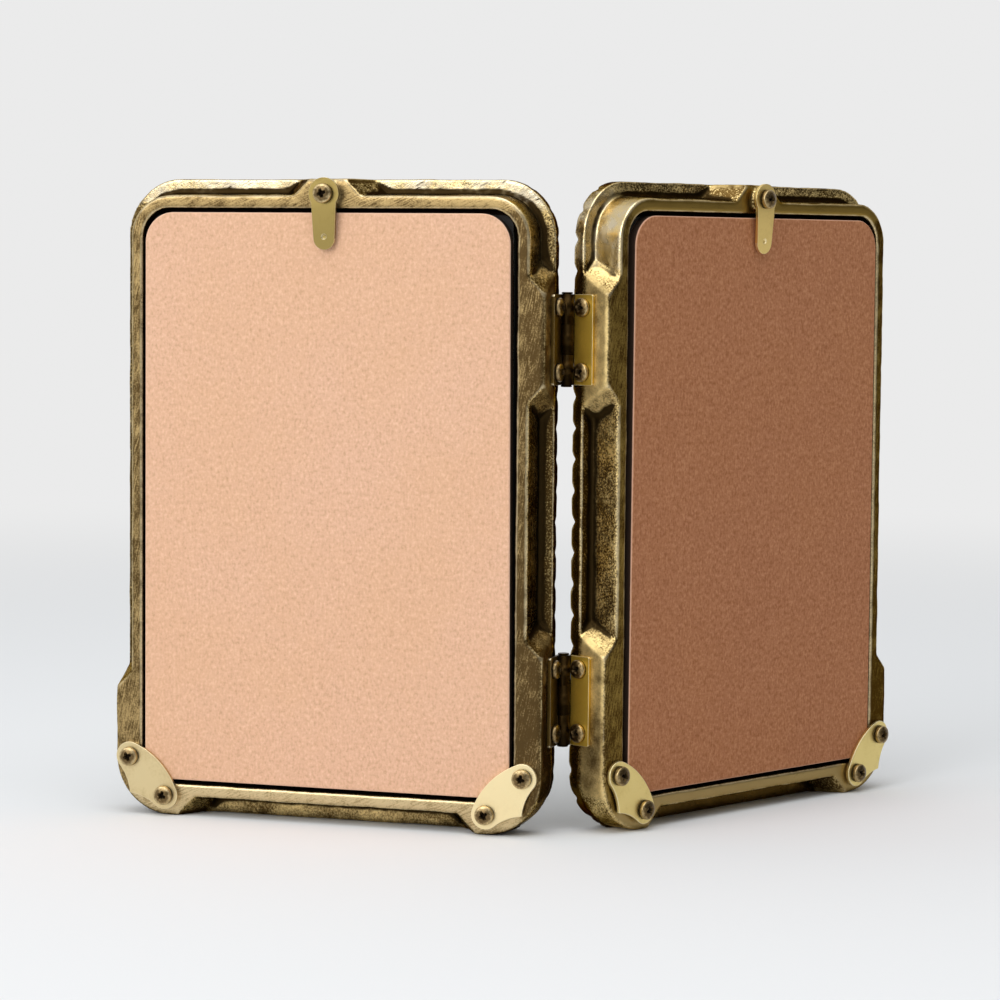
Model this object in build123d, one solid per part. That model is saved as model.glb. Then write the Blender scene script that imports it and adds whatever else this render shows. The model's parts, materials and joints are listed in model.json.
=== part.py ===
from build123d import *
import math
import os

# Hinged double photo frame, in millimetres, +Z up, standing on the bosses at its bottom corners.
# One half is modelled flat: X runs out from the hinge pin, -Y is the back and Z is up.
# A depth is measured from the plane of the hinge pin towards the back.

# What each half holds
PRINT_WIDTH = 101.6
PRINT_HEIGHT = 152.4
PRINT_THICK = 0.3
PRINT_CORNER = 3.0
BOARD_MARGIN = 0.4
BOARD_THICK = 3.0
BOARD_EDGE = 0.5
BOARD_CORNER = 8.0
BOARD_PROUD = 0.4
BOARD_SHIFT = 0.6
GLASS_THICK = 2.0
SIDE_GAP = 1.5
END_GAP = 1.1

# Casting
BORDER = 7.9
FOOT_DROP = 0.9
POCKET_CORNER = 7.6
FRONT_GAP = 0.2
CASTING_DEPTH = 12.8
LIP_THICK = 3.9
LIP_ROUND = 0.8
RIM_THICK = 3.4
RIM_DRAFT = 0.5
RIM_ROUND = 0.5
BACK_ROUND = 1.3

# Moulding of the front, from the lip in to the sight edge
MOULDING_FLAT = 4.6
SIGHT_OVERLAP = 5.0
SIGHT_EDGE_THICK = 2.6
COVE_SAG = 1.3
BEAD_RADIUS = 0.7

# Lobes round the front of the lip
LOBE_PITCH = 8.3
LOBE_CREST = 1.0
LOBE_DEPTH = 1.5
LOBE_REACH = 4.2
CORNER_LOBES = 3

# Bosses that fill the step behind the lip
HINGE_BOSS_HALF = 11.6
FOOT_BOSS_LENGTH = 18.5
FOOT_BOSS_HEIGHT = 34.0
CLIP_BOSS_HALF = 4.8
STEP_RAMP = 5.5
STEP_SLANT = 4.5

# Hinges
FOLD_ANGLE = 63.4
LOWER_HINGE_UP = 35.2
UPPER_HINGE_DOWN = 41.7
LEAF_HEIGHT = 23.8
LEAF_REACH = 8.2
LEAF_THICK = 0.9
LEAF_ROUND = 0.6
LEAF_SCREW_REACH = 4.7
LEAF_SCREW_SPAN = 17.0
LEAF_SCREW_LENGTH = 6.5
KNUCKLES = 3
KNUCKLE_GAP = 0.15
PIN_RADIUS = 1.0
PIN_HEAD_RADIUS = 1.5
PIN_HEAD_HEIGHT = 0.5
PIN_CLEAR = 0.05
SWING_CLEAR = 0.15

# Screws
HEAD_RADIUS = 2.6
HEAD_HEIGHT = 2.1
LEAF_HEAD_RADIUS = 2.5
LEAF_HEAD_HEIGHT = 1.7
HEAD_DOME = 0.8
SHANK_RADIUS = 1.3
HOLE_CLEAR = 0.06
TIP_CLEAR = 0.3
CROSS_WIDTH = 0.7
CROSS_SPAN = 2.6
CROSS_DEPTH = 0.9
BACK_SCREW_LENGTH = 8.5

# Corner plates
PLATE_THICK = 1.0
PLATE_LIFT = 0.1
PLATE_SCREW_OUT = 3.1
PLATE_SCREW_ALONG = 7.0
PLATE_LOBE = 3.9
PLATE_BULGE = 5.4
PLATE_CUSP = 7.0
PLATE_SCALLOP = 0.6
PAD_RADIUS = 3.2

# Turn clip
CLIP_RING = 4.2
CLIP_LENGTH = 14.8
CLIP_ROOT_WIDTH = 7.2
CLIP_TIP_WIDTH = 5.9
CLIP_THICK = 0.9
CLIP_RISE = 1.6
CLIP_BOSS_RADIUS = 3.4
CLIP_PLAY = 0.05
CLIP_BOARD_GAP = 0.25
DIMPLE_SETBACK = 3.4
DIMPLE_RADIUS = 1.0
DIMPLE_RISE = 0.35

# Worked out from the sizes above
BOARD_WIDTH = PRINT_WIDTH + 2 * BOARD_MARGIN
BOARD_HEIGHT = PRINT_HEIGHT + 2 * BOARD_MARGIN
POCKET_WIDTH = BOARD_WIDTH + 2 * SIDE_GAP
POCKET_HEIGHT = BOARD_HEIGHT + 2 * END_GAP
SEAT = PIN_RADIUS + LEAF_THICK
BODY_WIDTH = POCKET_WIDTH + 2 * BORDER
BODY_HEIGHT = POCKET_HEIGHT + 2 * BORDER
BODY_CORNER = POCKET_CORNER + BORDER
FAR_SIDE = SEAT + BODY_WIDTH
TOP = FOOT_DROP + BODY_HEIGHT
MID_X = SEAT + BODY_WIDTH / 2
MID_Z = FOOT_DROP + BODY_HEIGHT / 2
BACK = FRONT_GAP + CASTING_DEPTH
LIP_BACK = FRONT_GAP + LIP_THICK
BOARD_BACK = BACK + BOARD_PROUD
PRINT_BACK = BOARD_BACK - BOARD_THICK
GLASS_BACK = PRINT_BACK - PRINT_THICK
LEDGE = GLASS_BACK - GLASS_THICK
PLATE_SEAT = BOARD_BACK + PLATE_LIFT
PLATE_TOP = PLATE_SEAT + PLATE_THICK
CLIP_SEAT = BACK + CLIP_RISE
CLIP_UNDER = CLIP_SEAT + CLIP_PLAY
CLIP_HEAD_SEAT = CLIP_UNDER + CLIP_THICK + CLIP_PLAY
CLIP_Z = TOP - BORDER / 2
HOLE_RADIUS = SHANK_RADIUS + HOLE_CLEAR
PLATE_START = math.sqrt((SEAT + SWING_CLEAR) ** 2 - PIN_RADIUS**2)
HINGE_HEIGHTS = {"lower": LOWER_HINGE_UP, "upper": TOP - UPPER_HINGE_DOWN}
POCKET_CORNERS = {"outer": (FAR_SIDE - BORDER, -1), "inner": (SEAT + BORDER, 1)}


def slab(outline, depth, thick):
    """An outline in X and Z, made solid from a depth towards the back."""
    return extrude(Plane.XZ.offset(depth) * outline, amount=thick)


def rod(x, z, depth, radius, length):
    """A round bar along the depth."""
    return slab(Pos(x, z) * Circle(radius), depth, length)


def pocket_outline(grow):
    """The pocket's outline, grown by the same width all round."""
    width = POCKET_WIDTH + 2 * grow
    height = POCKET_HEIGHT + 2 * grow
    return Pos(MID_X, MID_Z) * RectangleRounded(width, height, POCKET_CORNER + grow)


def back_edges(solid):
    """The edges of a solid's rearmost face."""
    return solid.faces().sort_by(Axis.Y)[0].edges()


def notch_stations():
    """Where two lobes of the lip meet, as places on its outline and outward directions."""
    stations = []
    for quarter in range(4):
        along, across = (BODY_HEIGHT, BODY_WIDTH) if quarter % 2 == 0 else (BODY_WIDTH, BODY_HEIGHT)
        run = along / 2 - BODY_CORNER
        lobes = max(1, round(2 * run / LOBE_PITCH))
        out = Vector(1, 0)
        spots = [(Vector(across / 2, run * (2 * step / lobes - 1)), out) for step in range(lobes)]
        centre = Vector(across / 2 - BODY_CORNER, run)
        for step in range(CORNER_LOBES):
            way = out.rotate(Axis.Z, 90 * step / CORNER_LOBES)
            spots.append((centre + way * BODY_CORNER, way))
        turn = 90 * quarter
        stations += [(place.rotate(Axis.Z, turn), way.rotate(Axis.Z, turn)) for place, way in spots]
    return stations


def lobe_notches():
    """The hollows between the lobes, deepest at the lip's edge and fading out inwards."""
    half = (LOBE_PITCH - LOBE_CREST) / 2
    root = (0, -LOBE_DEPTH)
    edges = [
        TangentArc((half, 0), root, tangent=(-1, 0)),
        TangentArc((-half, 0), root, tangent=(1, 0)),
        Polyline((half, 0), (half, LOBE_DEPTH), (-half, LOBE_DEPTH), (-half, 0)),
    ]
    hollow = make_face(edges)
    notches = []
    for place, way in notch_stations():
        out = Vector(way.X, 0, way.Y)
        rise = Vector(0, LOBE_DEPTH, 0) - out * LOBE_REACH
        start = Vector(MID_X + place.X, -FRONT_GAP, MID_Z + place.Y) - rise / 2
        plane = Plane(origin=start, x_dir=(way.Y, 0, -way.X), z_dir=out)
        notches.append(extrude(plane * hollow, amount=1.7 * rise.length, dir=rise.normalized()))
    return notches


def front_lip():
    """The lip, rounded along its front edge and hollowed between its lobes."""
    lip = slab(pocket_outline(BORDER), FRONT_GAP, LIP_THICK)
    front = lip.faces().sort_by(Axis.Y)[-1]
    return fillet(front.edges(), LIP_ROUND) - lobe_notches()


def cove_cutter():
    """The hollow moulding between the lip's flat and the bead at the sight edge."""
    rise = LEDGE - SIGHT_EDGE_THICK - FRONT_GAP
    sight = BORDER + SIGHT_OVERLAP - MOULDING_FLAT
    run = sight - 2 * BEAD_RADIUS
    length = math.hypot(run, rise)
    hollow = (run / 2 - COVE_SAG * rise / length, rise / 2 + COVE_SAG * run / length)
    past = sight + BEAD_RADIUS
    edges = [
        ThreePointArc((0, 0), hollow, (run, rise)),
        ThreePointArc((run, rise), (run + BEAD_RADIUS, rise - BEAD_RADIUS), (sight, rise)),
        Polyline((sight, rise), (past, rise), (past, -BACK), (0, -BACK), (0, 0)),
    ]
    across = Plane(
        origin=(MID_X, -FRONT_GAP, TOP - MOULDING_FLAT),
        x_dir=(0, 0, -1),
        z_dir=(-1, 0, 0),
    )
    path = Plane.XZ.offset(FRONT_GAP) * pocket_outline(BORDER - MOULDING_FLAT)
    return sweep(across * make_face(edges), path=path.wire())


def step_run(plane, outward, start, end, ramps):
    """One run of the step behind the lip, its ends sloped back and in where a boss stands."""
    past = BACK + CASTING_DEPTH
    slope = STEP_RAMP * (past - BACK) / (BACK - LIP_BACK)
    at_start, at_end = ramps
    sides = []
    for reach in (-BORDER, 2 * BORDER):
        slant = STEP_SLANT * (BORDER - reach) / (BORDER - RIM_THICK)
        low = start + at_start * slant
        high = end - at_end * slant
        side = Polygon(
            (low + at_start * STEP_RAMP, LIP_BACK),
            (high - at_end * STEP_RAMP, LIP_BACK),
            (high + at_end * slope, past),
            (low - at_start * slope, past),
            align=None,
        )
        sides.append(plane.offset(outward * reach) * side)
    return loft(sides, ruled=True)


def step_along_x(height, outward, start, end, ramps):
    """A run of the step along the top or the bottom rail, out from the pocket's edge."""
    plane = Plane(origin=(0, 0, height), x_dir=(1, 0, 0), z_dir=(0, 0, -1))
    return step_run(plane, outward, start, end, ramps)


def step_along_z(side, outward, low, high, ramps):
    """A run of the step along a side rail, out from the pocket's edge."""
    plane = Plane(origin=(side, 0, 0), x_dir=(0, 0, 1), z_dir=(1, 0, 0))
    return step_run(plane, outward, low, high, ramps)


def rim():
    """The rim wall's outer form, drafted towards the back and filled inside."""
    foot = Plane.XZ.offset(LIP_BACK) * pocket_outline(RIM_THICK + RIM_DRAFT)
    edge = Plane.XZ.offset(BACK) * pocket_outline(RIM_THICK)
    solid = loft([foot, edge], ruled=True)
    return fillet(back_edges(solid), RIM_ROUND)


def step_cutter():
    """The open step behind the lip, left standing where the bosses fill it."""
    lower = HINGE_HEIGHTS["lower"] + HINGE_BOSS_HALF
    upper = HINGE_HEIGHTS["upper"] - HINGE_BOSS_HALF
    above = HINGE_HEIGHTS["upper"] + HINGE_BOSS_HALF
    near, far, over = SEAT - BORDER, FAR_SIDE + BORDER, TOP + BORDER
    inner, outer = SEAT + BORDER, FAR_SIDE - BORDER
    head, foot = TOP - BORDER, FOOT_DROP + BORDER
    runs = [
        step_along_z(inner, -1, lower, upper, (1, 1)),
        step_along_z(inner, -1, above, over, (1, 0)),
        step_along_z(outer, 1, FOOT_BOSS_HEIGHT, over, (1, 0)),
        step_along_x(head, -1, near, MID_X - CLIP_BOSS_HALF, (0, 1)),
        step_along_x(head, -1, MID_X + CLIP_BOSS_HALF, far, (1, 0)),
        step_along_x(foot, 1, SEAT + FOOT_BOSS_LENGTH, FAR_SIDE - FOOT_BOSS_LENGTH, (1, 1)),
    ]
    wall = rim()
    return [run - wall for run in runs]


def plate_screw_places(corner_x, inward):
    """A corner plate's two screws: one on the side rail and one on the bottom rail."""
    low = FOOT_DROP + BORDER
    return [
        (corner_x - inward * PLATE_SCREW_OUT, low + PLATE_SCREW_ALONG),
        (corner_x + inward * PLATE_SCREW_ALONG, low - PLATE_SCREW_OUT),
    ]


def leaf_screw_heights(height):
    """The heights of the two screws in a hinge leaf."""
    return [height - LEAF_SCREW_SPAN / 2, height + LEAF_SCREW_SPAN / 2]


def back_hole(x, z, head_seat):
    """A screw hole bored from the back."""
    depth = head_seat - BACK_SCREW_LENGTH - TIP_CLEAR
    return rod(x, z, depth, HOLE_RADIUS, BACK)


def leaf_holes(height, bore):
    """The two screw holes of a hinge leaf, bored both ways from the casting's side."""
    hole = Rot(0, 90, 0) * Cylinder(HOLE_RADIUS, 2 * bore)
    return [Pos(SEAT, -LEAF_SCREW_REACH, z) * hole for z in leaf_screw_heights(height)]


def casting():
    """One half's frame: lip, rim, bosses, pocket, sight opening and screw holes."""
    body = Pos(MID_X, TOP / 2) * RectangleRounded(BODY_WIDTH, TOP, BODY_CORNER)
    block = slab(body, LIP_BACK, BACK - LIP_BACK)
    block = fillet(back_edges(block), BACK_ROUND)
    block -= step_cutter()
    foot = BACK - BACK_ROUND
    solid = front_lip() + block + rod(MID_X, CLIP_Z, foot, CLIP_BOSS_RADIUS, CLIP_SEAT - foot)
    cuts = [back_hole(MID_X, CLIP_Z, CLIP_HEAD_SEAT)]
    for corner_x, inward in POCKET_CORNERS.values():
        for x, z in plate_screw_places(corner_x, inward):
            solid += rod(x, z, foot, PAD_RADIUS, PLATE_SEAT - foot)
            cuts.append(back_hole(x, z, PLATE_TOP))
    for height in HINGE_HEIGHTS.values():
        cuts += leaf_holes(height, LEAF_SCREW_LENGTH - LEAF_THICK + TIP_CLEAR)
    cuts.append(slab(pocket_outline(0), LEDGE, BACK))
    cuts.append(slab(pocket_outline(-SIGHT_OVERLAP), -BACK, 2 * BACK))
    cuts.append(cove_cutter())
    return solid - cuts


def sheet(width, height, corner, depth, thick):
    """One layer of the stack in the pocket."""
    return slab(Pos(MID_X, MID_Z) * RectangleRounded(width, height, corner), depth, thick)


def backing_board():
    """The board, with the edges of its back face eased, lying a little away from the hinges."""
    board = sheet(BOARD_WIDTH, BOARD_HEIGHT, BOARD_CORNER, PRINT_BACK, BOARD_THICK)
    return Pos(BOARD_SHIFT, 0, 0) * fillet(back_edges(board), BOARD_EDGE)


def screw(length, radius, height):
    """A pan-head screw with a cross recess, along Z, with its head's seat at the origin."""
    brim = (radius, height - HEAD_DOME)
    edges = [
        Polyline((0, height), (0, -length), (SHANK_RADIUS, -length), (SHANK_RADIUS, 0), (radius, 0), brim),
        TangentArc((0, height), brim, tangent=(1, 0)),
    ]
    slot = Pos(0, 0, height) * Box(CROSS_SPAN, CROSS_WIDTH, 2 * CROSS_DEPTH)
    return revolve(Plane.XZ * make_face(edges), Axis.Z) - slot - Rot(0, 0, 90) * slot


def back_screw(x, z, head_seat):
    """A screw driven in from the back."""
    return Pos(x, -head_seat, z) * Rot(90, 0, 0) * screw(BACK_SCREW_LENGTH, HEAD_RADIUS, HEAD_HEIGHT)


def leaf_screws(height):
    """The two screws of a hinge leaf, driven in from the spine."""
    turned = Rot(0, -90, 0) * screw(LEAF_SCREW_LENGTH, LEAF_HEAD_RADIUS, LEAF_HEAD_HEIGHT)
    face = SEAT - LEAF_THICK
    return Compound([Pos(face, -LEAF_SCREW_REACH, z) * turned for z in leaf_screw_heights(height)])


def plate_screws(corner_x, inward):
    """The two screws of a corner plate."""
    places = plate_screw_places(corner_x, inward)
    return Compound([back_screw(x, z, PLATE_TOP) for x, z in places])


def plate_outline():
    """A leaf shape: round ends at the screws, bulged inside, two scallops and a cusp outside."""
    half = (PLATE_SCREW_OUT + PLATE_SCREW_ALONG) / math.sqrt(2)
    bulge_radius = (half**2 + PLATE_BULGE**2 - PLATE_LOBE**2) / (2 * (PLATE_BULGE - PLATE_LOBE))
    end = Vector(half, 0)
    lean = math.degrees(math.atan2(bulge_radius - PLATE_BULGE, half))
    lobe = Vector(PLATE_LOBE, 0)
    touch = end + lobe.rotate(Axis.Z, lean)
    tip = end + lobe.rotate(Axis.Z, (lean - 90) / 2)
    turn_in = end + lobe.rotate(Axis.Z, -90)
    cusp = Vector(0, -PLATE_CUSP)
    hollow = (turn_in + cusp) / 2 + Vector(0, PLATE_SCALLOP)
    edges = [ThreePointArc((-touch.X, touch.Y), (0, PLATE_BULGE), touch)]
    for hand in (1, -1):
        spots = [Vector(hand * spot.X, spot.Y) for spot in (touch, tip, turn_in, hollow, cusp)]
        edges.append(ThreePointArc(*spots[:3]))
        edges.append(ThreePointArc(*spots[2:]))
    holes = [Pos(hand * half, 0) * Circle(HOLE_RADIUS) for hand in (1, -1)]
    return make_face(edges) - holes


def corner_plate(corner_x, inward):
    """One corner plate on its pads, bulging over the corner of the board."""
    side, bottom = (Vector(*place) for place in plate_screw_places(corner_x, inward))
    centre = (side + bottom) / 2
    outline = Pos(centre.X, centre.Y) * Rot(0, 0, -45 * inward) * plate_outline()
    return slab(outline, PLATE_SEAT, PLATE_THICK)


def turn_clip():
    """A pressed clip: a ring on its boss and a tongue sloping to a dimple over the board."""
    tip = CLIP_TIP_WIDTH / 2
    root = CLIP_ROOT_WIDTH / 2
    round_end = tip - CLIP_LENGTH
    tongue = Polygon((-root, 0), (-tip, round_end), (tip, round_end), (root, 0), align=None)
    plan = Circle(CLIP_RING) + tongue + Pos(0, round_end) * Circle(tip) - Circle(HOLE_RADIUS)
    drop = CLIP_UNDER - BOARD_BACK - CLIP_BOARD_GAP - DIMPLE_RISE
    low = [(CLIP_RING, CLIP_UNDER), (-CLIP_RING, CLIP_UNDER), (-CLIP_LENGTH, CLIP_UNDER - drop)]
    high = [(z, depth + CLIP_THICK) for z, depth in reversed(low)]
    section = Plane(origin=(MID_X, 0, CLIP_Z), x_dir=(0, 0, 1), z_dir=(1, 0, 0))
    bent = extrude(section * Polygon(*low, *high, align=None), amount=CLIP_RING, both=True)
    clip = slab(Pos(MID_X, CLIP_Z) * plan, BOARD_BACK, CLIP_LENGTH) & bent
    reach = CLIP_LENGTH - DIMPLE_SETBACK
    under = CLIP_UNDER - drop * (reach - CLIP_RING) / (CLIP_LENGTH - CLIP_RING)
    bump = Cone(DIMPLE_RADIUS / 2, DIMPLE_RADIUS, 2 * DIMPLE_RISE)
    spot = Pos(MID_X, -under, CLIP_Z - reach) * Rot(90, 0, 0)
    return clip + spot * bump - Pos(0, -CLIP_THICK, 0) * spot * bump


def hinge_leaf(height, own):
    """One leaf: a plate on the casting's side, rolled round the pin at its own knuckles."""
    low = height - LEAF_HEIGHT / 2
    pitch = (LEAF_HEIGHT + KNUCKLE_GAP) / KNUCKLES
    corner = (Align.MAX, Align.MAX, Align.MIN)
    plate = Box(LEAF_THICK, LEAF_REACH - PLATE_START, LEAF_HEIGHT, align=corner)
    plate = fillet(plate.edges().filter_by(Axis.X).group_by(Axis.Y)[0], LEAF_ROUND)
    leaf = Pos(SEAT, -PLATE_START, low) * plate
    for knuckle in own:
        place = Pos(0, 0, low + knuckle * pitch)
        tall = pitch - KNUCKLE_GAP
        neck = Pos(SEAT, 0, 0) * Box(LEAF_THICK, LEAF_REACH - LEAF_ROUND, tall, align=corner)
        barrel = Cylinder(SEAT, tall, align=(Align.CENTER, Align.CENTER, Align.MIN))
        leaf += place * (neck + barrel)
    bore = Pos(0, 0, height) * Cylinder(PIN_RADIUS + PIN_CLEAR, 2 * LEAF_HEIGHT)
    return leaf - bore - leaf_holes(height, 2 * SEAT)


def hinge_pin(height):
    """A pin with a flattened head at each end of the barrel."""
    reach = LEAF_HEIGHT / 2 + PIN_CLEAR
    pin = Cylinder(PIN_RADIUS, 2 * reach)
    for hand in (1, -1):
        place = Pos(0, 0, hand * (reach + PIN_HEAD_HEIGHT / 2))
        pin += place * Cylinder(PIN_HEAD_RADIUS, PIN_HEAD_HEIGHT)
    return Pos(0, 0, height) * pin


def half():
    """Every piece of one half, flat and on the right-hand side."""
    pieces = {
        "frame_casting": casting(),
        "glass_pane": sheet(BOARD_WIDTH, BOARD_HEIGHT, BOARD_CORNER, LEDGE, GLASS_THICK),
        "photo_sheet": sheet(PRINT_WIDTH, PRINT_HEIGHT, PRINT_CORNER, GLASS_BACK, PRINT_THICK),
        "backing_board": backing_board(),
        "turn_clip": turn_clip(),
        "clip_screw": back_screw(MID_X, CLIP_Z, CLIP_HEAD_SEAT),
    }
    for corner, (corner_x, inward) in POCKET_CORNERS.items():
        pieces[f"{corner}_corner_plate"] = corner_plate(corner_x, inward)
        pieces[f"{corner}_plate_screws"] = plate_screws(corner_x, inward)
    return pieces


def folded(shape, hand):
    """A piece of the flat right half, put on its own side and swung to the fold."""
    sided = mirror(shape, about=Plane.YZ) if hand < 0 else shape
    return Rot(0, 0, hand * FOLD_ANGLE / 2) * sided


def assembly():
    """Every node of the frame, with the hinge pins on the Z axis."""
    nodes = {}
    pieces = half()
    for side, hand in (("left", -1), ("right", 1)):
        for name, shape in pieces.items():
            nodes[f"{side}_{name}"] = folded(shape, hand)
        for place, height in HINGE_HEIGHTS.items():
            own = range(0, KNUCKLES, 2) if hand < 0 else range(1, KNUCKLES, 2)
            nodes[f"{place}_hinge_{side}_leaf"] = folded(hinge_leaf(height, own), hand)
            nodes[f"{place}_hinge_{side}_screws"] = folded(leaf_screws(height), hand)
    for place, height in HINGE_HEIGHTS.items():
        nodes[f"{place}_hinge_pin"] = hinge_pin(height)
    return nodes


os.makedirs("parts", exist_ok=True)
frame = assembly()
box = Compound(list(frame.values())).bounding_box()
middle = (box.min + box.max) / 2
for node, shape in frame.items():
    export_step(Pos(-middle.X, -middle.Y, -box.min.Z) * shape, f"parts/{node}.step")
print(f"hinge pin at X {-middle.X:.4f}, Y {-middle.Y:.4f}")
print(f"size {box.size.X:.2f} x {box.size.Y:.2f} x {box.size.Z:.2f}")
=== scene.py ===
"""The looks of a hinged double photo frame that stands half open, seen from the back.

Two rough-cast brass halves hold kraft boards behind their prints, with leaf-shaped corner plates,
turn clips, butt hinges and pan-head screws. Lengths are in metres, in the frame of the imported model.
"""

import json
import logging
import math
from collections.abc import Mapping, Sequence
from dataclasses import dataclass
from enum import Enum

import bmesh
import bpy
import numpy as np
from bpy.types import Material, Mesh, Object
from mathutils import Matrix, Vector, noise


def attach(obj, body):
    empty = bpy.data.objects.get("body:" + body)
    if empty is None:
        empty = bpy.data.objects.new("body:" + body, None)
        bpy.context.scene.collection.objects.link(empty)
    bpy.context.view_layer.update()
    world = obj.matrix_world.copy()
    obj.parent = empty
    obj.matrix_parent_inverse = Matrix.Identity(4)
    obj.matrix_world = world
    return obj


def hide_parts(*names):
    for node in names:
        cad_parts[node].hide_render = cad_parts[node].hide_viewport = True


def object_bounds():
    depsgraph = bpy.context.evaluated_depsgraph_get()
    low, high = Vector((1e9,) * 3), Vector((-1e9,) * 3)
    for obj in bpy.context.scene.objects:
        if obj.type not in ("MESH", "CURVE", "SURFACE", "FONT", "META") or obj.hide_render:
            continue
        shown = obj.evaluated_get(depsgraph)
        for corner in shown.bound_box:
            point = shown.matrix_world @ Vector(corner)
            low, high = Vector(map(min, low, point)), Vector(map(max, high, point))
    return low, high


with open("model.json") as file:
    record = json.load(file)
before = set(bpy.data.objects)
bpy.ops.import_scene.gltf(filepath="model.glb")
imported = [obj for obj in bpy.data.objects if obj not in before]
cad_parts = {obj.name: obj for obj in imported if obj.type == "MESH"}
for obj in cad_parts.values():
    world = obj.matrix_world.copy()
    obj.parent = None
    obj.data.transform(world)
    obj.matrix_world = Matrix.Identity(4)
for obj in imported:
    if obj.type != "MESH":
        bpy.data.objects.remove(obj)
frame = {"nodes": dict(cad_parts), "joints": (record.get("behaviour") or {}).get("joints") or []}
CAD_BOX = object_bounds()
MM = 0.001
WELD = 0.001 * MM
LOG = logging.getLogger("photo_frame")
Triple = tuple[float, float, float]
Colour = Triple
Span = tuple[float, float]


class Side(Enum):
    """The two halves, each with the sign of X on which it lies."""

    LEFT = -1
    RIGHT = 1


class Corner(Enum):
    """The bottom corners of a half, by how far they are from the spine."""

    OUTER = "outer"
    INNER = "inner"


class Height(Enum):
    """The two hinges, by how high they sit."""

    LOWER = "lower"
    UPPER = "upper"


class Signal:
    """One output of a node tree: arithmetic on it adds Math nodes."""

    def __init__(self, paint: "Paint", socket: bpy.types.NodeSocket) -> None:
        """Keeps the tree that the output belongs to."""
        self.paint = paint
        self.socket = socket

    def math(self, operation: str, first: "Signal | float", second: "Signal | float") -> "Signal":
        """Adds one Math node, and gives its result."""
        return self.paint.node("ShaderNodeMath", {"operation": operation}, {0: first, 1: second})

    def __add__(self, other: "Signal | float") -> "Signal":
        """This plus the other."""
        return self.math("ADD", self, other)

    def __sub__(self, other: "Signal | float") -> "Signal":
        """This less the other."""
        return self.math("SUBTRACT", self, other)

    def __rsub__(self, other: float) -> "Signal":
        """A number less this."""
        return self.math("SUBTRACT", other, self)

    def __mul__(self, other: "Signal | float") -> "Signal":
        """This times the other."""
        return self.math("MULTIPLY", self, other)

    __radd__ = __add__
    __rmul__ = __mul__

    def most(self, other: "Signal | float") -> "Signal":
        """The larger of this and the other."""
        return self.math("MAXIMUM", self, other)

    def step(self, low: float, high: float) -> "Signal":
        """Runs smoothly from 0 at low to 1 at high."""
        sockets = {"Value": self, "From Min": low, "From Max": high}
        return self.paint.node("ShaderNodeMapRange", {"interpolation_type": "SMOOTHSTEP"}, sockets)


class Paint:
    """A node tree under construction, of a material or of the world."""

    def __init__(self, tree: bpy.types.NodeTree) -> None:
        """Starts from an empty tree."""
        self.tree = tree
        tree.nodes.clear()

    def node(
        self,
        kind: str,
        settings: Mapping[str, object] | None = None,
        sockets: Mapping[str | int, object] | None = None,
        output: str | int = 0,
    ) -> Signal:
        """Adds a node.

        Args:
            kind: The node's type.
            settings: Its properties, set first.
            sockets: Values or links for its inputs.
            output: The output that is wanted.

        Returns:
            That output.
        """
        made = self.tree.nodes.new(kind)
        for key, value in (settings or {}).items():
            setattr(made, key, value)
        for key, value in (sockets or {}).items():
            if isinstance(value, Signal):
                self.tree.links.new(value.socket, made.inputs[key])
            else:
                made.inputs[key].default_value = value
        return Signal(self, made.outputs[output]) if made.outputs else Signal(self, None)

    def mix(self, share: Signal | float, first: object, second: object) -> Signal:
        """Mixes two colours or links, with a share of the second."""
        sockets = {0: share, 6: rgba(first), 7: rgba(second)}
        return self.node("ShaderNodeMix", {"data_type": "RGBA"}, sockets, output=2)

    def tinted(self, share: Signal, colour: Signal, tint: Colour) -> Signal:
        """Multiplies a colour by a share of a tint."""
        settings = {"data_type": "RGBA", "blend_type": "MULTIPLY"}
        return self.node("ShaderNodeMix", settings, {0: share, 6: colour, 7: rgba(tint)}, output=2)

    def own_axes(self) -> Signal:
        """Places on the piece, in the axes of its own half."""
        return self.node("ShaderNodeTexCoord", output="Object")

    def stretched(self, places: Signal, stretch: Triple, lean: float = 0.0) -> Signal:
        """Places that stretch a pattern along each axis, and lean it about Y by some degrees."""
        sockets = {"Vector": places, "Rotation": (0.0, math.radians(lean), 0.0), "Scale": stretch}
        return self.node("ShaderNodeMapping", {"vector_type": "TEXTURE"}, sockets)

    def cloud(self, places: Signal, scale: float, detail: float = 2.0, rough: float = 0.5) -> Signal:
        """Soft noise about 0.5, by its waves in a metre, its finer layers and their strength."""
        sockets = {"Vector": places, "Scale": scale, "Detail": detail, "Roughness": rough}
        return self.node("ShaderNodeTexNoise", {}, sockets)

    def attribute(self, name: str) -> Signal:
        """A value that the mesh carries on its points."""
        settings = {"attribute_name": name, "attribute_type": "GEOMETRY"}
        return self.node("ShaderNodeAttribute", settings, output="Fac")

    def bump(self, height: Signal, distance: float, over: Signal | None = None) -> Signal:
        """Turns a height into a normal, by how far out 1 stands, over another normal if there is one."""
        base = {} if over is None else {"Normal": over}
        return self.node("ShaderNodeBump", {}, {"Height": height, "Distance": distance, **base})

    def surface(self, sockets: Mapping[str, object]) -> None:
        """Ends a material's tree in one Principled shader."""
        shader = self.node("ShaderNodeBsdfPrincipled", {}, sockets)
        self.node("ShaderNodeOutputMaterial", {}, {"Surface": shader})


def rgba(colour: object) -> object:
    """A colour with its alpha, or a link as it is."""
    return colour if isinstance(colour, Signal) else (*colour, 1.0)


def new_paint(name: str) -> tuple[Material, Paint]:
    """Starts a material.

    Args:
        name: The material's name.

    Returns:
        The material and its empty tree.
    """
    material = bpy.data.materials.new(name)
    material.use_nodes = True
    return material, Paint(material.node_tree)


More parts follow.
